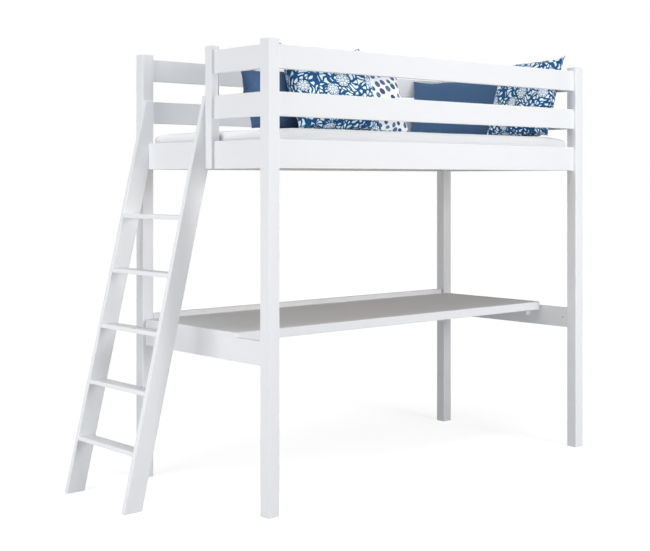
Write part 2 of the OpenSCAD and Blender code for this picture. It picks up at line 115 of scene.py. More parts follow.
floor_paint, tree, shader = new_material("studio_floor")
socket_value(shader, Base_Color=(0.56, 0.56, 0.565, 1), Roughness=0.9,
             Emission_Color=(1, 1, 1, 1))
place = tree.nodes.new("ShaderNodeTexCoord")
from_bed = vector_calc(tree, "LENGTH", place.outputs["Object"])
lit_round_bed, unlit_beyond = 2.0, 7.0
own_white = tree.nodes.new("ShaderNodeMapRange")
own_white.interpolation_type = "SMOOTHSTEP"
socket_value(own_white, From_Min=lit_round_bed, From_Max=unlit_beyond, To_Min=0.7,
             To_Max=0.84)
tree.links.new(from_bed, own_white.inputs["Value"])
plug(tree, calc(tree, "MULTIPLY", shown_to_eye(tree), own_white.outputs["Result"]),
     shader.inputs["Emission Strength"])

floor_reach = 60
floor_shape = bmesh.new()
bmesh.ops.create_grid(floor_shape, x_segments=8, y_segments=8, size=floor_reach)
floor = bpy.data.objects.new("studio_floor", bpy.data.meshes.new("studio_floor"))
floor_shape.to_mesh(floor.data)
floor_shape.free()
floor.data.materials.append(floor_paint)
bpy.context.scene.collection.objects.link(floor)

world = bpy.data.worlds.new("studio")
bpy.context.scene.world = world
world.use_nodes = True
tree = world.node_tree
room_level = 0.2
plug(tree, calc(tree, "MULTIPLY_ADD", shown_to_eye(tree), 1 - room_level, room_level),
     tree.nodes["Background"].inputs["Strength"])
socket_value(tree.nodes["Background"], Color=(1, 1, 1, 1))


def soft_light(name, place, aim, width, watts):
    """A round soft light at a place, turned towards what it is aimed at."""
    light = bpy.data.objects.new(name, bpy.data.lights.new(name, "AREA"))
    light.data.shape = "DISK"
    light.data.size = width
    light.data.energy = watts
    light.location = place
    light.rotation_euler = (Vector(aim) - Vector(place)).to_track_quat("-Z", "Y").to_euler()
    bpy.context.scene.collection.objects.link(light)


soft_light("front_light", (1.0, -5.0, 1.8), (0.2, 0.0, 1.1), 2.0, 136)
soft_light("ladder_light", (-4.4, -0.2, 1.5), (-1.0, 0.1, 1.1), 3.0, 91)
soft_light("top_light", (0.0, -1.0, 5.5), (0.0, 0.0, 1.0), 3.0, 118)

bpy.context.scene.view_settings.view_transform = "Standard"


# ---- White lacquered boards ------------------------------------------------------
# Posts, rails, ladder and desk are planed softwood under a satin white lacquer. The
# grain runs along each board and shows through as shallow long ridges.
def group_tree(name, inputs, outputs):
    """An empty node group with named input and output sockets."""
    group = bpy.data.node_groups.new(name, "ShaderNodeTree")
    for label, kind in inputs:
        group.interface.new_socket(label, in_out="INPUT", socket_type=kind)
    for label, kind in outputs:
        group.interface.new_socket(label, in_out="OUTPUT", socket_type=kind)
    return group, group.nodes.new("NodeGroupInput"), group.nodes.new("NodeGroupOutput")


def blend_colour(tree, share, first, second):
    """A mix of two colours, each a socket or an RGBA value."""
    node = tree.nodes.new("ShaderNodeMix")
    node.data_type = "RGBA"
    plug(tree, share, node.inputs["Factor"])
    colours = [s for s in node.inputs if s.type == "RGBA"]
    plug(tree, first, colours[0])
    plug(tree, second, colours[1])
    return next(s for s in node.outputs if s.type == "RGBA")


def noise_field(tree, vector, scale, detail=3.0, roughness=0.5):
    """Soft random values over a vector, from 0 to 1."""
    node = tree.nodes.new("ShaderNodeTexNoise")
    plug(tree, vector, node.inputs["Vector"])
    socket_value(node, Scale=scale, Detail=detail, Roughness=roughness)
    return node.outputs["Fac"]


grain_group, put_in, put_out = group_tree(
    "board_grain",
    [("Vector", "NodeSocketVector"), ("Stretch", "NodeSocketVector")],
    [("Ridges", "NodeSocketFloat"), ("Tone", "NodeSocketFloat")])
along = vector_calc(
    grain_group, "MULTIPLY", put_in.outputs["Vector"], put_in.outputs["Stretch"])
long_waves = noise_field(grain_group, along, 9.0, 2.0, 0.4)
fine_lines = noise_field(grain_group, along, 60.0, 4.0, 0.6)
orange_peel = noise_field(grain_group, put_in.outputs["Vector"], 420.0, 1.0)
ridges = calc(grain_group, "MULTIPLY_ADD", fine_lines, 0.55,
              calc(grain_group, "MULTIPLY", orange_peel, 0.25))
plug(grain_group, calc(grain_group, "MULTIPLY_ADD", long_waves, 0.2, ridges),
     put_out.inputs["Ridges"])
plug(grain_group, calc(grain_group, "MULTIPLY_ADD", fine_lines, 0.4,
                       calc(grain_group, "MULTIPLY", long_waves, 0.6)),
     put_out.inputs["Tone"])

GRAIN_ALONG = {"x": (0.35, 7, 7), "y": (7, 0.35, 7), "z": (7, 7, 0.35)}
LACQUER_LIGHT = (0.855, 0.868, 0.888, 1)
LACQUER_DEEP = (0.825, 0.84, 0.865, 1)


def board_finish(name, direction, light, deep, roughness, relief, gloss=0.3, lean=0.0):
    """A board's material: two close tones, a roughness band and shallow grain. A board
    that leans back from the upright by an angle has its grain turned with it."""
    material, tree, shader = new_material(name)
    place = tree.nodes.new("ShaderNodeTexCoord")
    turned = tree.nodes.new("ShaderNodeVectorRotate")
    turned.rotation_type = "Y_AXIS"
    turned.inputs["Angle"].default_value = -lean
    tree.links.new(place.outputs["Object"], turned.inputs["Vector"])
    grain = tree.nodes.new("ShaderNodeGroup")
    grain.node_tree = grain_group
    tree.links.new(turned.outputs["Vector"], grain.inputs["Vector"])
    grain.inputs["Stretch"].default_value = GRAIN_ALONG[direction]
    plug(tree, blend_colour(tree, grain.outputs["Tone"], deep, light),
         shader.inputs["Base Color"])
    roughness_band = 0.14
    plug(tree, calc(tree, "MULTIPLY_ADD", grain.outputs["Tone"], roughness_band,
                    roughness - roughness_band / 2),
         shader.inputs["Roughness"])
    socket_value(shader, Specular_IOR_Level=gloss)
    bump = tree.nodes.new("ShaderNodeBump")
    socket_value(bump, Strength=relief, Distance=0.0006)
    tree.links.new(grain.outputs["Ridges"], bump.inputs["Height"])
    tree.links.new(bump.outputs["Normal"], shader.inputs["Normal"])
    return material


lacquer = {
    way: board_finish(f"white_lacquer_{way}", way, LACQUER_LIGHT, LACQUER_DEEP, 0.42, 0.25)
    for way in "xyz"}


def finish_node(name, material):
    """Gives a CAD node's own object a material in every slot."""
    piece = nodes[name]
    if not piece.data.materials:
        piece.data.materials.append(material)
    for slot in piece.material_slots:
        slot.material = material


for name in ("post_front_left", "post_front_right", "post_back_left", "post_back_right"):
    finish_node(name, lacquer["z"])


def put_in_place(name, shape, material, slot, *stands_for):
    """Makes a finished shape a piece of the bed that stands for CAD nodes."""
    piece = bpy.data.objects.new(name, bpy.data.meshes.new(name))
    shape.to_mesh(piece.data)
    shape.free()
    piece.data.materials.append(material)
    bpy.context.scene.collection.objects.link(piece)
    if stands_for:
        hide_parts(*stands_for)
    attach(piece, "root")
    return piece


def eased_copy(name, radius, material, slot):
    """A copy of a sharp-edged CAD board with its long edges rounded."""
    same_point, nearly_flat = 0.00002, math.radians(1)
    short, blunt = 0.014, math.radians(50)
    shape = bmesh.new()
    shape.from_mesh(nodes[name].data)
    bmesh.ops.remove_doubles(shape, verts=shape.verts, dist=same_point)
    bmesh.ops.dissolve_limit(
        shape, angle_limit=nearly_flat, verts=shape.verts, edges=shape.edges)
    arrises = [
        edge for edge in shape.edges
        if edge.is_manifold and edge.is_convex and edge.calc_length() > short
        and edge.calc_face_angle() > blunt]
    bmesh.ops.bevel(shape, geom=arrises, offset=radius, affect="EDGES", segments=3,
                    profile=0.5, material=-1)
    put_in_place(f"{name}_eased", shape, material, slot, name)


eased_copy("guard_post", 0.004, lacquer["z"], "white_paint")


# ---- Rails -----------------------------------------------------------------------
# Boards butted between the posts: four deep bed rails, eight guard rails and the two
# crossbars under the desk. Their long edges are rounded at the mill.
RAILS_ALONG_X = ("side_rail_front", "side_rail_back", "guard_front_lower",
                 "guard_front_upper", "guard_back_lower", "guard_back_upper")
RAILS_ALONG_Y = ("end_rail_left", "end_rail_right", "guard_left_lower",
                 "guard_left_upper", "guard_right_lower", "guard_right_upper",
                 "desk_crossbar_left", "desk_crossbar_right")
for name in RAILS_ALONG_X:
    finish_node(name, lacquer["x"])
for name in RAILS_ALONG_Y:
    finish_node(name, lacquer["y"])


# ---- Ladder ----------------------------------------------------------------------
# Two leaning stiles notched over the end rail, and five flat steps between them. All
# are lacquered; the steps' grain runs across the ladder.
stile_runs_out, stile_rises = 0.419, 1.78
stile_lean = math.atan2(stile_runs_out, stile_rises)
stile_lacquer = board_finish("stile_lacquer", "z", LACQUER_LIGHT, LACQUER_DEEP, 0.42,
                             0.25, lean=stile_lean)
for name in ("ladder_stile_front", "ladder_stile_back"):
    eased_copy(name, 0.003, stile_lacquer, "white_paint")
step_count = 5
for number in range(1, step_count + 1):
    finish_node(f"step_{number}", lacquer["y"])


# ---- Desk ------------------------------------------------------------------------
# One thick plate with rounded front corners, lapped over the left crossbar, a low strip
# behind it, and a cleat that carries its right end. The plate and strip have a matt white
# lacquer; the cleat has the satin one of the rails.
desk_lacquer = board_finish(
    "desk_lacquer", "x", LACQUER_LIGHT, LACQUER_DEEP, 0.75, 0.15, 0.1)
desk_low, desk_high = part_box("desk_top")
desk_corner = 0.02
desk_easing = 0.003
lap_width = 0.028
lap_height = 0.021
close = 1e-5

plate = bmesh.new()
outline = [
    (desk_low.x, desk_high.z), (desk_low.x, desk_high.z - lap_height),
    (desk_low.x + lap_width, desk_high.z - lap_height),
    (desk_low.x + lap_width, desk_low.z), (desk_high.x, desk_low.z),
    (desk_high.x, desk_high.z)]
front = plate.faces.new([plate.verts.new((x, desk_low.y, z)) for x, z in outline])
pushed = bmesh.ops.extrude_face_region(plate, geom=[front])["geom"]
bmesh.ops.translate(
    plate, vec=(0, desk_high.y - desk_low.y, 0),
    verts=[v for v in pushed if isinstance(v, bmesh.types.BMVert)])
bmesh.ops.recalc_face_normals(plate, faces=plate.faces)
corners = [
    edge for edge in plate.edges
    if all(abs(v.co.y - desk_low.y) < close for v in edge.verts)
    and abs(edge.verts[0].co.x - edge.verts[1].co.x) < close
    and min(abs(edge.verts[0].co.x - desk_low.x),
            abs(edge.verts[0].co.x - desk_high.x)) < close]
bmesh.ops.bevel(plate, geom=corners, offset=desk_corner, affect="EDGES", segments=8,
                profile=0.5, material=-1)
arrises = [
    edge for edge in plate.edges
    if edge.is_convex and edge.calc_face_angle() > math.radians(50)
    and not all(v.co.z < desk_high.z - lap_height + close
                and v.co.x < desk_low.x + lap_width + close for v in edge.verts)]
bmesh.ops.bevel(plate, geom=arrises, offset=desk_easing, affect="EDGES", segments=3,
                profile=0.5, material=-1)
put_in_place("desk_plate", plate, desk_lacquer, "desk_paint", "desk_top")
finish_node("desk_upstand", desk_lacquer)
eased_copy("desk_cleat", 0.002, lacquer["y"], "white_paint")


# ---- Slats and ledgers -----------------------------------------------------------
# Bare planed softwood: thirteen slats dropped into the housings of two ledgers. Their
# arrises are eased, which those of the CAD solids aren't.
softwood = {
    way: board_finish(f"bare_softwood_{way}", way, (0.66, 0.5, 0.31, 1),
                      (0.5, 0.34, 0.18, 1), 0.6, 0.5)
    for way in "xy"}
slat_count = 13
for number in range(1, slat_count + 1):
    eased_copy(f"slat_{number}", 0.002, softwood["y"], "bare_wood")
for name in ("slat_ledger_front", "slat_ledger_back"):
    eased_copy(name, 0.002, softwood["x"], "bare_wood")
finish_node("desk_dowels", softwood["y"])


# ---- Fixings ---------------------------------------------------------------------
# Zinc-plated studs, barrel nuts and countersunk screws, all driven from inside, below
# or behind. The plating is dull with a faint mottle.
zinc, tree, shader = new_material("zinc_plate")
place = tree.nodes.new("ShaderNodeTexCoord")
mottle = noise_field(tree, place.outputs["Object"], 300.0, 3.0)
plug(tree, blend_colour(tree, mottle, (0.42, 0.43, 0.45, 1), (0.6, 0.61, 0.63, 1)),
     shader.inputs["Base Color"])
plug(tree, calc(tree, "MULTIPLY_ADD", mottle, 0.2, 0.25), shader.inputs["Roughness"])
socket_value(shader, Metallic=1.0)
for name in ("bed_bolt_studs", "barrel_nuts", "ladder_screws", "ledger_screws",
             "desk_screws"):
    finish_node(name, zinc)


# ---- Cloth -----------------------------------------------------------------------
# Woven cotton for the mattress cover and the cushions. Threads cross at right angles
# on each panel's own flat coordinates. Small folds run in from a cushion's seam.
weave_group, put_in, put_out = group_tree(
    "cotton_weave",
    [("Cloth", "NodeSocketVector"), ("Pitch", "NodeSocketFloat")],
    [("Threads", "NodeSocketFloat"), ("Slub", "NodeSocketFloat")])
spread = weave_group.nodes.new("ShaderNodeVectorMath")
spread.operation = "SCALE"
weave_group.links.new(put_in.outputs["Cloth"], spread.inputs[0])
weave_group.links.new(
    calc(weave_group, "DIVIDE", 2 * math.pi, put_in.outputs["Pitch"]),
    spread.inputs["Scale"])
thread_axes = weave_group.nodes.new("ShaderNodeSeparateXYZ")
weave_group.links.new(spread.outputs["Vector"], thread_axes.inputs[0])
warp = calc(weave_group, "SINE", thread_axes.outputs["X"])
weft = calc(weave_group, "SINE", thread_axes.outputs["Y"])
plug(weave_group,
     calc(weave_group, "MULTIPLY_ADD", calc(weave_group, "MULTIPLY", warp, weft), 0.5, 0.5),
     put_out.inputs["Threads"])
along_thread, over_thread = 40.0, 700.0
long_threads = vector_calc(
    weave_group, "MULTIPLY", put_in.outputs["Cloth"], (along_thread, over_thread, 1.0))
cross_threads = vector_calc(
    weave_group, "MULTIPLY", put_in.outputs["Cloth"], (over_thread, along_thread, 1.0))
plug(weave_group,
     calc(weave_group, "MULTIPLY_ADD",
          noise_field(weave_group, long_threads, 1.0, 2.0), 0.5,
          calc(weave_group, "MULTIPLY",
               noise_field(weave_group, cross_threads, 1.0, 2.0), 0.5)),
     put_out.inputs["Slub"])


def axes_of(tree, vector):
    """The first two parts of a vector."""
    parts = tree.nodes.new("ShaderNodeSeparateXYZ")
    tree.links.new(vector, parts.inputs[0])
    return parts.outputs["X"], parts.outputs["Y"]


def inside(tree, value, limit, softness=0.35):
    """1 where a value is under its limit and 0 past it, with a thin soft edge."""
    node = tree.nodes.new("ShaderNodeMapRange")
    node.interpolation_type = "SMOOTHSTEP"
    plug(tree, calc(tree, "SUBTRACT", value, limit), node.inputs["Value"])
    socket_value(node, From_Min=-softness, From_Max=softness, To_Min=1.0, To_Max=0.0)
    return node.outputs["Result"]


gather_group, put_in, put_out = group_tree(
    "seam_gathers", [("Seam", "NodeSocketVector")], [("Height", "NodeSocketFloat")])
inward, along_seam = axes_of(gather_group, put_in.outputs["Seam"])
waves_inward, waves_along, fade_inward = 22.0, 130.0, -45.0
fold_waves = gather_group.nodes.new("ShaderNodeCombineXYZ")
plug(gather_group, calc(gather_group, "MULTIPLY", inward, waves_inward),
     fold_waves.inputs["X"])
plug(gather_group, calc(gather_group, "MULTIPLY", along_seam, waves_along),
     fold_waves.inputs["Y"])
folds = noise_field(gather_group, fold_waves.outputs["Vector"], 1.0, 1.5)
fading = calc(
    gather_group, "EXPONENT", calc(gather_group, "MULTIPLY", inward, fade_inward))
stitches_in, stitch_width, stitch_depth = 0.0035, 0.0006, 0.25
from_stitches = calc(
    gather_group, "ABSOLUTE", calc(gather_group, "SUBTRACT", inward, stitches_in))
stitch_line = inside(gather_group, from_stitches, stitch_width, stitch_width)
plug(gather_group,
     calc(gather_group, "SUBTRACT", calc(gather_group, "MULTIPLY", folds, fading),
          calc(gather_group, "MULTIPLY", stitch_line, stitch_depth)),
     put_out.inputs["Height"])


def cloth_finish(name, colour_of, pitch, relief, gathered=False):
    """A cotton material. colour_of makes its colour from the cloth's flat coordinates
    in millimetres and the slub of its threads. Gathered cloth has folds along a seam."""
    material, tree, shader = new_material(name)
    flat = tree.nodes.new("ShaderNodeUVMap")
    flat.uv_map = "cloth"
    millimetres = vector_calc(tree, "MULTIPLY", flat.outputs["UV"], (1000, 1000, 0))
    weave = tree.nodes.new("ShaderNodeGroup")
    weave.node_tree = weave_group
    tree.links.new(flat.outputs["UV"], weave.inputs["Cloth"])
    weave.inputs["Pitch"].default_value = pitch
    plug(tree, colour_of(tree, millimetres, weave.outputs["Slub"]),
         shader.inputs["Base Color"])
    socket_value(shader, Roughness=0.88, Specular_IOR_Level=0.25, Sheen_Weight=0.12,
                 Sheen_Roughness=0.5)
    bump = tree.nodes.new("ShaderNodeBump")
    socket_value(bump, Strength=relief, Distance=0.0004)
    plug(tree,
         calc(tree, "MULTIPLY_ADD", weave.outputs["Threads"], 0.6, weave.outputs["Slub"]),
         bump.inputs["Height"])
    if gathered:
        seam = tree.nodes.new("ShaderNodeUVMap")
        seam.uv_map = "seam"
        gathers = tree.nodes.new("ShaderNodeGroup")
        gathers.node_tree = gather_group
        tree.links.new(seam.outputs["UV"], gathers.inputs["Seam"])
        raised = tree.nodes.new("ShaderNodeBump")
        socket_value(raised, Strength=0.8, Distance=0.006)
        tree.links.new(gathers.outputs["Height"], raised.inputs["Height"])
        tree.links.new(raised.outputs["Normal"], bump.inputs["Normal"])
    tree.links.new(bump.outputs["Normal"], shader.inputs["Normal"])
    return material


def darker(colour, share):
    """A colour with only a share of its light."""
    return tuple(channel * share for channel in colour[:3]) + (1,)


def plain_colour(colour, depth=0.82):
    """A cloth colour that only varies with its threads."""
    def colour_of(tree, millimetres, slub):
        return blend_colour(tree, slub, darker(colour, depth), colour)
    return colour_of


# ---- Mattress --------------------------------------------------------------------
# A foam mattress in a white cotton cover, with rounded corners, softly rolled edges and
# a thin corded seam above and below its side band. It lies loose on the slats.
mattress_low, mattress_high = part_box("mattress")
mattress_size = mattress_high - mattress_low
mattress_middle = (mattress_low + mattress_high) / 2
mattress_corner = 0.026
mattress_roll = 0.022
top_seam, bottom_seam = 0.042, 0.036
seam_pinch = 0.0015
cord_thickness = 0.0025


def rounded_outline(inset):
    """Points round the mattress's plan, drawn in by an inset, with rounded corners."""
    tightest, corner_steps, end_steps, side_steps = 0.003, 8, 30, 66
    radius = max(mattress_corner - inset, tightest)
    corner_x = mattress_size.x / 2 - inset - radius
    corner_y = mattress_size.y / 2 - inset - radius
    arcs = []
    for sign_x, sign_y, start in ((1, -1, -90), (1, 1, 0), (-1, 1, 90), (-1, -1, 180)):
        middle = Vector((sign_x * corner_x, sign_y * corner_y))
        turns = [math.radians(start + 90 * step / corner_steps)
                 for step in range(corner_steps + 1)]
        arcs.append([middle + radius * Vector((math.cos(a), math.sin(a))) for a in turns])
    outline = []
    for index, arc in enumerate(arcs):
        ahead = arcs[(index + 1) % 4][0]
        steps = (end_steps, side_steps)[index % 2]
        outline += arc
        outline += [arc[-1].lerp(ahead, step / steps) for step in range(1, steps)]
    return outline


def ring_places():
    """Insets and heights of the mattress's rings, from its underside to its top."""
    top = mattress_size.z
    middle_inset, flat_from = 0.43, 0.1
    quarter = [math.radians(15 * step) for step in range(7)]
    roll = [(mattress_roll * (1 - math.cos(a)), mattress_roll * math.sin(a))
            for a in quarter]
    top_insets = (0.035, 0.05, 0.08, 0.12, 0.17, 0.23, 0.3, 0.37, middle_inset)
    rings = [(middle_inset, 0.0), (flat_from, 0.0)]
    rings += [(inset, mattress_roll - rise) for inset, rise in reversed(roll)]
    rings += [(seam_pinch, bottom_seam), (0.0, top / 2), (seam_pinch, top - top_seam)]
    rings += [(inset, top - mattress_roll + rise) for inset, rise in roll]
    rings += [(inset, top) for inset in top_insets]
    return rings


def ring_points(inset, height):
    """The corners of one ring, with the mattress's middle at zero."""
    return [(point.x, point.y, height - mattress_size.z / 2)
            for point in rounded_outline(inset)]


end_fall, end_drop = 0.2, 0.016
side_fall, side_drop = 0.05, 0.005
broad_ripples, fine_ripples, ripple_height = 5.0, 14.0, 0.0016
mattress_shape = bmesh.new()
underside, *higher_rings = ring_places()
lid = mattress_shape.faces.new(
    [mattress_shape.verts.new(point) for point in ring_points(*underside)])
for ring in higher_rings:
    pushed = bmesh.ops.extrude_face_region(
        mattress_shape, geom=[lid, *lid.edges])["geom"]
    lid = next(part for part in pushed if isinstance(part, bmesh.types.BMFace))
    for vertex, point in zip(lid.verts, ring_points(*ring)):
        vertex.co = point
bmesh.ops.recalc_face_normals(mattress_shape, faces=mattress_shape.faces)
for vertex in mattress_shape.verts:
    co = vertex.co
    height = co.z / mattress_size.z + 0.5
    from_end = min((mattress_size.x / 2 - abs(co.x)) / end_fall, 1)
    from_side = min((mattress_size.y / 2 - abs(co.y)) / side_fall, 1)
    ripple = 0.5 - noise.noise(co * broad_ripples) - 0.6 * noise.noise(co * fine_ripples)
    co.z -= height * (
        end_drop * (1 - from_end) ** 2 + side_drop * (1 - from_side) ** 2
        + ripple_height * ripple * from_end * from_side)
bmesh.ops.translate(mattress_shape, vec=mattress_middle, verts=mattress_shape.verts)
cloth_map = mattress_shape.loops.layers.uv.new("cloth")
for face in mattress_shape.faces:
    lies_flat = abs(face.normal.z) > 0.7
    away = -1 if face.normal.x * face.normal.y > 0 else 1
    for loop in face.loops:
        co = loop.vert.co
        loop[cloth_map].uv = (co.x, co.y) if lies_flat else (co.x + away * co.y, co.z)
    face.smooth = True
white_cotton = cloth_finish(
    "white_cotton", plain_colour((0.88, 0.89, 0.91, 1), 0.95), 0.0011, 0.3)
mattress = put_in_place(
    "mattress_cover", mattress_shape, white_cotton, "mattress_cloth", "mattress")

seam_cotton, tree, shader = new_material("seam_cotton")
place = tree.nodes.new("ShaderNodeTexCoord")
twist = noise_field(tree, place.outputs["Object"], 500.0, 2.0)
plug(tree, blend_colour(tree, twist, (0.8, 0.81, 0.83, 1), (0.88, 0.89, 0.91, 1)),
     shader.inputs["Base Color"])
socket_value(shader, Roughness=0.85, Sheen_Weight=0.15)


def corded_seam(name, height):
    """The cord sewn round the mattress at one height."""
    let_in = 0.0012
    rim = rounded_outline(let_in)
    line = bpy.data.curves.new(name, "CURVE")
    line.dimensions = "3D"
    line.bevel_depth = cord_thickness / 2
    line.bevel_resolution = 3
    spline = line.splines.new("POLY")
    spline.points.add(len(rim) - 1)
    for place, point in zip(spline.points, rim):
        place.co = (mattress_middle.x + point.x, mattress_middle.y + point.y, height, 1)
    spline.use_cyclic_u = True
    cord = bpy.data.objects.new(name, line)
    cord.data.materials.append(seam_cotton)
    bpy.context.scene.collection.objects.link(cord)
    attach(cord, "root")


corded_seam("mattress_seam_top", mattress_high.z - top_seam)
corded_seam("mattress_seam_bottom", mattress_low.z + bottom_seam)


# ---- Cushion prints --------------------------------------------------------------
# Printed cotton: white blossoms and leaves on deep blue, slate blue ovals on white, and
# a plain mid blue. The motifs are drawn round the points of random layouts.
def turned_flat(tree, vector, angle):
    """A vector turned in the plane of the cloth."""
    node = tree.nodes.new("ShaderNodeVectorRotate")
    node.rotation_type = "Z_AXIS"
    tree.links.new(vector, node.inputs["Vector"])
    plug(tree, angle, node.inputs["Angle"])
    return node.outputs["Vector"]


def scattered(tree, place, pitch, randomness, swing):
    """For points about a pitch apart along each axis: the way from the nearest one,
    turned by a random part of a swing, and a random number of its own."""
    layout = tree.nodes.new("ShaderNodeTexVoronoi")
    layout.voronoi_dimensions = "2D"
    layout.feature = "F1"
    socket_value(layout, Scale=1.0, Randomness=randomness)
    cells = vector_calc(tree, "MULTIPLY", place, (1 / pitch[0], 1 / pitch[1], 0))
    tree.links.new(cells, layout.inputs["Vector"])
    away = vector_calc(tree, "SUBTRACT", cells, layout.outputs["Position"])
    away = vector_calc(tree, "MULTIPLY", away, (pitch[0], pitch[1], 0))
    channels = tree.nodes.new("ShaderNodeSeparateColor")
    tree.links.new(layout.outputs["Color"], channels.inputs[0])
    angle = calc(
        tree, "MULTIPLY", calc(tree, "SUBTRACT", channels.outputs["Red"], 0.5), swing)
    return turned_flat(tree, away, angle), channels.outputs["Green"]


BLOSSOM_SPACING = 118.0
PETALS = 7
PETAL_RINGS = 2.6
BLOSSOM_SMALLEST, BLOSSOM_RANGE = 27.0, 7.0
CLEAR_ROUND_BLOSSOM = 4.5
LEAF_LENGTH, LEAF_WIDTH = 33, 21
LEAF_GAP = 0.2
LEAF_SWAY = 60


def leaf_shapes(tree, millimetres, bloom):
    """1 on the leaves, which lie a different way round each blossom and sway a little."""
    drift = tree.nodes.new("ShaderNodeTexNoise")
    drift.noise_dimensions = "2D"
    socket_value(drift, Scale=0.016, Detail=1.0)
    tree.links.new(millimetres, drift.inputs["Vector"])
    drifted = vector_calc(
        tree, "MULTIPLY_ADD", drift.outputs["Color"], (LEAF_SWAY, LEAF_SWAY, 0), bloom)
    leaves = tree.nodes.new("ShaderNodeTexVoronoi")
    leaves.voronoi_dimensions = "2D"
    leaves.feature = "DISTANCE_TO_EDGE"
    leaf_middles = tree.nodes.new("ShaderNodeTexVoronoi")
    leaf_middles.voronoi_dimensions = "2D"
    leaf_cells = vector_calc(
        tree, "MULTIPLY", drifted, (1 / LEAF_LENGTH, 1 / LEAF_WIDTH, 0))
    for layout in (leaves, leaf_middles):
        socket_value(layout, Scale=1.0, Randomness=0.8)
        tree.links.new(leaf_cells, layout.inputs["Vector"])
    leaf_mask = calc(
        tree, "MULTIPLY",
        inside(tree, LEAF_GAP, leaves.outputs["Distance"], 0.015),
        inside(tree, leaf_middles.outputs["Distance"], 0.5, 0.02))
    borders = tree.nodes.new("ShaderNodeTexVoronoi")
    borders.voronoi_dimensions = "2D"
    borders.feature = "DISTANCE_TO_EDGE"
    socket_value(borders, Scale=1.0, Randomness=0.6)
    plug(tree, vector_calc(tree, "MULTIPLY", millimetres,
                           (1 / BLOSSOM_SPACING, 1 / BLOSSOM_SPACING, 0)),
         borders.inputs["Vector"])
    return calc(tree, "MULTIPLY", leaf_mask,
                inside(tree, 0.015, borders.outputs["Distance"], 0.004))


def petal_lines(tree, radius, angle, reach):
    """1 on the thin lines round the tips and along the sides of a blossom's petals."""
    ring_place = calc(tree, "DIVIDE", radius, calc(tree, "DIVIDE", reach, PETAL_RINGS))
    ring_number = calc(tree, "FLOOR", ring_place)
    in_ring = calc(tree, "FRACT", ring_place)
    above_zero = 64.0
    turns = calc(tree, "MULTIPLY_ADD", ring_number, 0.5,
                 calc(tree, "MULTIPLY_ADD", angle, PETALS / (2 * math.pi), above_zero))
    from_middle = calc(tree, "ABSOLUTE",
                       calc(tree, "SUBTRACT", calc(tree, "FRACT", turns), 0.5))
    tip = calc(tree, "MULTIPLY_ADD",
               calc(tree, "MULTIPLY", from_middle, from_middle), -2.0, 0.9)
    tip_line = inside(
        tree, calc(tree, "ABSOLUTE", calc(tree, "SUBTRACT", in_ring, tip)), 0.09, 0.03)
    side_line = inside(tree, calc(tree, "SUBTRACT", 0.5, from_middle), 0.075, 0.02)
    return calc(tree, "MAXIMUM", tip_line, side_line)


def blossom_colour(tree, millimetres, slub):
    """White many-petalled blossoms with thin grey lines, among white leaves."""
    deep_blue = (0.004, 0.09, 0.24, 1)
    petal_white = (0.76, 0.88, 0.95, 1)
    line_grey = (0.13, 0.15, 0.2, 1)
    ground = blend_colour(tree, slub, darker(deep_blue, 0.78), deep_blue)

    bloom, bloom_chance = scattered(
        tree, millimetres, (BLOSSOM_SPACING, BLOSSOM_SPACING), 0.6, 2 * math.pi)
    bloom_x, bloom_y = axes_of(tree, bloom)
    radius = vector_calc(tree, "LENGTH", bloom)
    angle = calc(tree, "ARCTAN2", bloom_y, bloom_x)

    reach = calc(tree, "MULTIPLY_ADD", bloom_chance, BLOSSOM_RANGE, BLOSSOM_SMALLEST)
    scallop = calc(tree, "ABSOLUTE",
                   calc(tree, "COSINE", calc(tree, "MULTIPLY", angle, PETALS / 2)))
    rim = calc(tree, "MULTIPLY", reach, calc(tree, "MULTIPLY_ADD", scallop, 0.3, 0.7))
    bloom_mask = inside(tree, radius, rim)
    clear = inside(tree, radius, calc(tree, "ADD", rim, CLEAR_ROUND_BLOSSOM))
    leaf_mask = calc(tree, "MULTIPLY", leaf_shapes(tree, millimetres, bloom),
                     calc(tree, "SUBTRACT", 1.0, clear))

    printed = blend_colour(
        tree, calc(tree, "MAXIMUM", leaf_mask, bloom_mask), ground, petal_white)
    line_mask = petal_lines(tree, radius, angle, reach)
    return blend_colour(
        tree, calc(tree, "MULTIPLY", line_mask, bloom_mask), printed, line_grey)


def oval_colour(tree, millimetres, slub):
    """Slate blue ovals, light and dark and of uneven size, that lean much the same way
    on white."""
    cotton_white = (0.93, 0.97, 0.99, 1)
    ground = blend_colour(tree, slub, darker(cotton_white, 0.95), cotton_white)
    lean, narrowness = -0.45, 1.4
    smallest, size_range = 11.5, 5.0
    leaning = turned_flat(tree, millimetres, lean)
    oval, chance = scattered(tree, leaning, (31.0, 40.0), 0.35, 1.0)
    squashed = vector_calc(tree, "MULTIPLY", oval, (narrowness, 1.0, 0))
    size = calc(tree, "MULTIPLY_ADD", chance, size_range, smallest)
    mask = inside(tree, vector_calc(tree, "LENGTH", squashed), size)
    slate = blend_colour(tree, calc(tree, "FRACT", calc(tree, "MULTIPLY", chance, 7.0)),
                         (0.045, 0.07, 0.155, 1), (0.13, 0.185, 0.34, 1))
    return blend_colour(tree, mask, ground, slate)


blossom_cotton = cloth_finish("blossom_cotton", blossom_colour, 0.0012, 0.35, True)
oval_cotton = cloth_finish("oval_cotton", oval_colour, 0.0012, 0.35, True)
blue_cotton = cloth_finish(
    "blue_cotton", plain_colour((0.06, 0.13, 0.26, 1), 0.72), 0.0012, 0.4, True)


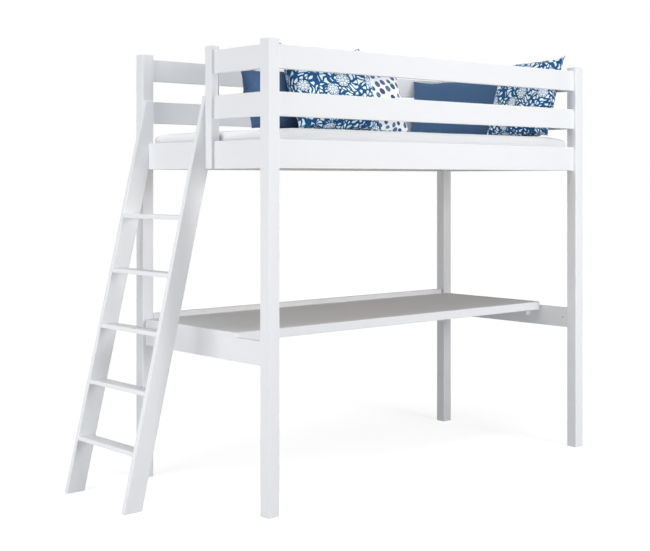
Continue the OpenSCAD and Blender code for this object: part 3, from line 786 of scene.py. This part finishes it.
# ---- Cushions --------------------------------------------------------------------
# Two panels of cloth sewn together round the edge and blown up by a cloth simulation, so
# that the seam draws in between pointed corners. Each cushion then stands in its CAD
# solid's place, leans back, and gives way where it presses on its neighbour.
def sewn_panels(width, height, cell):
    """A flat cushion cover: front and back panels, joined only round the edge. Its
    second map holds the distance from the seam and the way along it."""
    shape = bmesh.new()
    cloth_map = shape.loops.layers.uv.new("cloth")
    seam_map = shape.loops.layers.uv.new("seam")
    half_gap, sewn_within = 0.0006, 0.002
    columns = 2 * round(width / cell / 2)
    rows = 2 * round(height / cell / 2)
    for side in (-1, 1):
        made = bmesh.ops.create_grid(
            shape, x_segments=columns, y_segments=rows, size=0.5)["verts"]
        for face in {f for v in made for f in v.link_faces}:
            for loop in face.loops:
                x, y = loop.vert.co.x * width, loop.vert.co.y * height
                in_x, in_y = width / 2 - abs(x), height / 2 - abs(y)
                loop[cloth_map].uv = (x + 0.73 * side, y + 0.31 * side)
                loop[seam_map].uv = (min(in_x, in_y), y if in_x < in_y else x)
        bmesh.ops.scale(shape, vec=(width, height, 1), verts=made)
        bmesh.ops.rotate(shape, matrix=Matrix.Rotation(math.pi / 2, 3, "X"), verts=made)
        bmesh.ops.translate(shape, vec=(0, side * half_gap, 0), verts=made)
        if side == 1:
            bmesh.ops.reverse_faces(
                shape, faces=list({f for v in made for f in v.link_faces}))
    rim = [v for v in shape.verts if v.is_boundary]
    bmesh.ops.remove_doubles(shape, verts=rim, dist=sewn_within)
    return shape


def box_of(points):
    """The lowest and highest corner of a box round some points."""
    low = Vector(min(p[i] for p in points) for i in range(3))
    high = Vector(max(p[i] for p in points) for i in range(3))
    return low, high


def edge_profile(points, across, along, reach):
    """How far the points reach across, in bands along the cushion's other direction."""
    bands = 24
    reached = [0.0] * (bands + 1)
    for point in points:
        band = round((point[along] / reach + 1) / 2 * bands)
        for near in (band - 1, band, band + 1):
            if 0 <= near <= bands:
                reached[near] = max(reached[near], abs(point[across]))

    def at(value):
        place = min(max((value / reach + 1) / 2 * bands, 0), bands - 0.0001)
        left = int(place)
        return reached[left] + (reached[left + 1] - reached[left]) * (place - left)
    return at


def blown_up(piece, volume):
    """Swells a flat cover by its inside pressure for a few frames and keeps the shape."""
    last_frame = 9
    scene = bpy.context.scene
    scene.frame_set(1)
    cloth = piece.modifiers.new("stuffing", "CLOTH")
    cloth.settings.quality = 6
    cloth.settings.mass = 0.2
    cloth.settings.tension_stiffness = 25
    cloth.settings.compression_stiffness = 25
    cloth.settings.shear_stiffness = 8
    cloth.settings.bending_stiffness = 0.6
    cloth.settings.use_pressure = True
    cloth.settings.uniform_pressure_force = 4.0
    cloth.settings.use_pressure_volume = True
    cloth.settings.target_volume = volume
    cloth.settings.effector_weights.gravity = 0
    cloth.collision_settings.use_collision = False
    for frame_number in range(1, last_frame + 1):
        scene.frame_set(frame_number)
    blown = bpy.data.meshes.new_from_object(
        piece.evaluated_get(bpy.context.evaluated_depsgraph_get()))
    piece.modifiers.clear()
    piece.data = blown
    scene.frame_set(1)


def stuffed_cushion(name, node, turns, drawn_in, ears, material):
    """A cushion in the place of a CAD solid and turned as that solid is, with the middles
    of its sides and of its top drawn in by two amounts and its two top corners pulled up
    by two more. Its bottom edge settles down on the mattress."""
    swing, lean, roll = turns
    side_draw, top_draw = drawn_in
    turn = (Matrix.Rotation(math.radians(swing), 3, "Z")
            @ Matrix.Rotation(math.radians(-lean), 3, "X")
            @ Matrix.Rotation(math.radians(-roll), 3, "Y"))
    low, high = box_of([turn.inverted() @ v.co for v in nodes[node].data.vertices])
    size = high - low

    cut_larger, cell, fullness = 1.02, 0.0075, 0.55
    cover = sewn_panels(size.x * cut_larger, size.z * cut_larger, cell)
    piece = bpy.data.objects.new(name, bpy.data.meshes.new(name))
    cover.to_mesh(piece.data)
    cover.free()
    bpy.context.scene.collection.objects.link(piece)
    blown_up(piece, fullness * size.x * size.y * size.z)

    points = [v.co.copy() for v in piece.data.vertices]
    made_low, made_high = box_of(points)
    points = [p - (made_low + made_high) / 2 for p in points]
    made = (made_high - made_low) / 2
    side_at = edge_profile(points, 0, 2, made.z)
    top_at = edge_profile(points, 2, 0, made.x)
    middle = (low + high) / 2
    rest = mattress_high.z + 0.0004
    ear_sharpness = 4
    for vertex, point in zip(piece.data.vertices, points):
        x, y, z = point
        drawn_x = size.x / 2 - side_draw * (1 - (z / made.z) ** 2)
        drawn_z = size.z / 2 - top_draw * (1 - (x / made.x) ** 2)
        fitted = Vector((x / side_at(z) * drawn_x, y / made.y * size.y / 2,
                         z / top_at(x) * drawn_z))
        fitted.z += (ears[x > 0] * max(0.0, z / made.z) ** ear_sharpness
                     * (x / made.x) ** ear_sharpness)
        vertex.co = turn @ (middle + fitted)
        foot = turn @ (middle + Vector((fitted.x, 0, -drawn_z)))
        near_foot = (0.5 - z / made.z / 2) ** 2
        vertex.co.z = max(vertex.co.z - (foot.z - rest) * near_foot, rest)
    for polygon in piece.data.polygons:
        polygon.use_smooth = True
    smooth = piece.modifiers.new("smooth", "SUBSURF")
    smooth.levels = 1
    smooth.render_levels = 1
    piece.data.materials.clear()
    piece.data.materials.append(material)
    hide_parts(node)
    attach(piece, "root")
    return piece


def surface_of(piece):
    """A search tree over a piece's faces."""
    return BVHTree.FromPolygons([v.co.copy() for v in piece.data.vertices],
                                [list(p.vertices) for p in piece.data.polygons])


def give_way(cushion, surface, share):
    """Moves what lies inside another surface back towards it by a share of its depth."""
    deepest, straight_out = 0.03, 0.7
    for vertex in cushion.data.vertices:
        place, normal, *_ = surface.find_nearest(vertex.co, deepest)
        if place and (place - vertex.co).normalized().dot(normal) > straight_out:
            vertex.co = vertex.co.lerp(place, share)


blossom_left = stuffed_cushion(
    "blossom_cushion_left", "cushion_floral_left", (-10, 27, -0.7),
    (0.008, 0.032), (0.008, 0.008), blossom_cotton)
blossom_right = stuffed_cushion(
    "blossom_cushion_right", "cushion_floral_right", (-91, 19.5, 0.8),
    (0.036, 0.03), (-0.016, 0.006), blossom_cotton)
stuffed_cushion(
    "oval_cushion", "cushion_dotted", (-16, 25.5, 0),
    (0.012, 0.016), (0.0, 0.0), oval_cotton)
blue_left = stuffed_cushion(
    "blue_cushion_left", "cushion_plain_left", (3, 17, 0),
    (0.011, 0.018), (0.0, 0.0), blue_cotton)
blue_right = stuffed_cushion(
    "blue_cushion_right", "cushion_plain_right", (-64, 16, 0),
    (0.012, 0.018), (0.0, 0.0), blue_cotton)
for blossom, blue in ((blossom_left, blue_left), (blossom_right, blue_right)):
    for share in (0.5, 0.6, 0.6):
        blossom_surface, blue_surface = surface_of(blossom), surface_of(blue)
        give_way(blossom, blue_surface, share)
        give_way(blue, blossom_surface, share)
for share in (1.0, 1.5):
    give_way(blossom_right, surface_of(nodes["guard_right_upper"]), share)
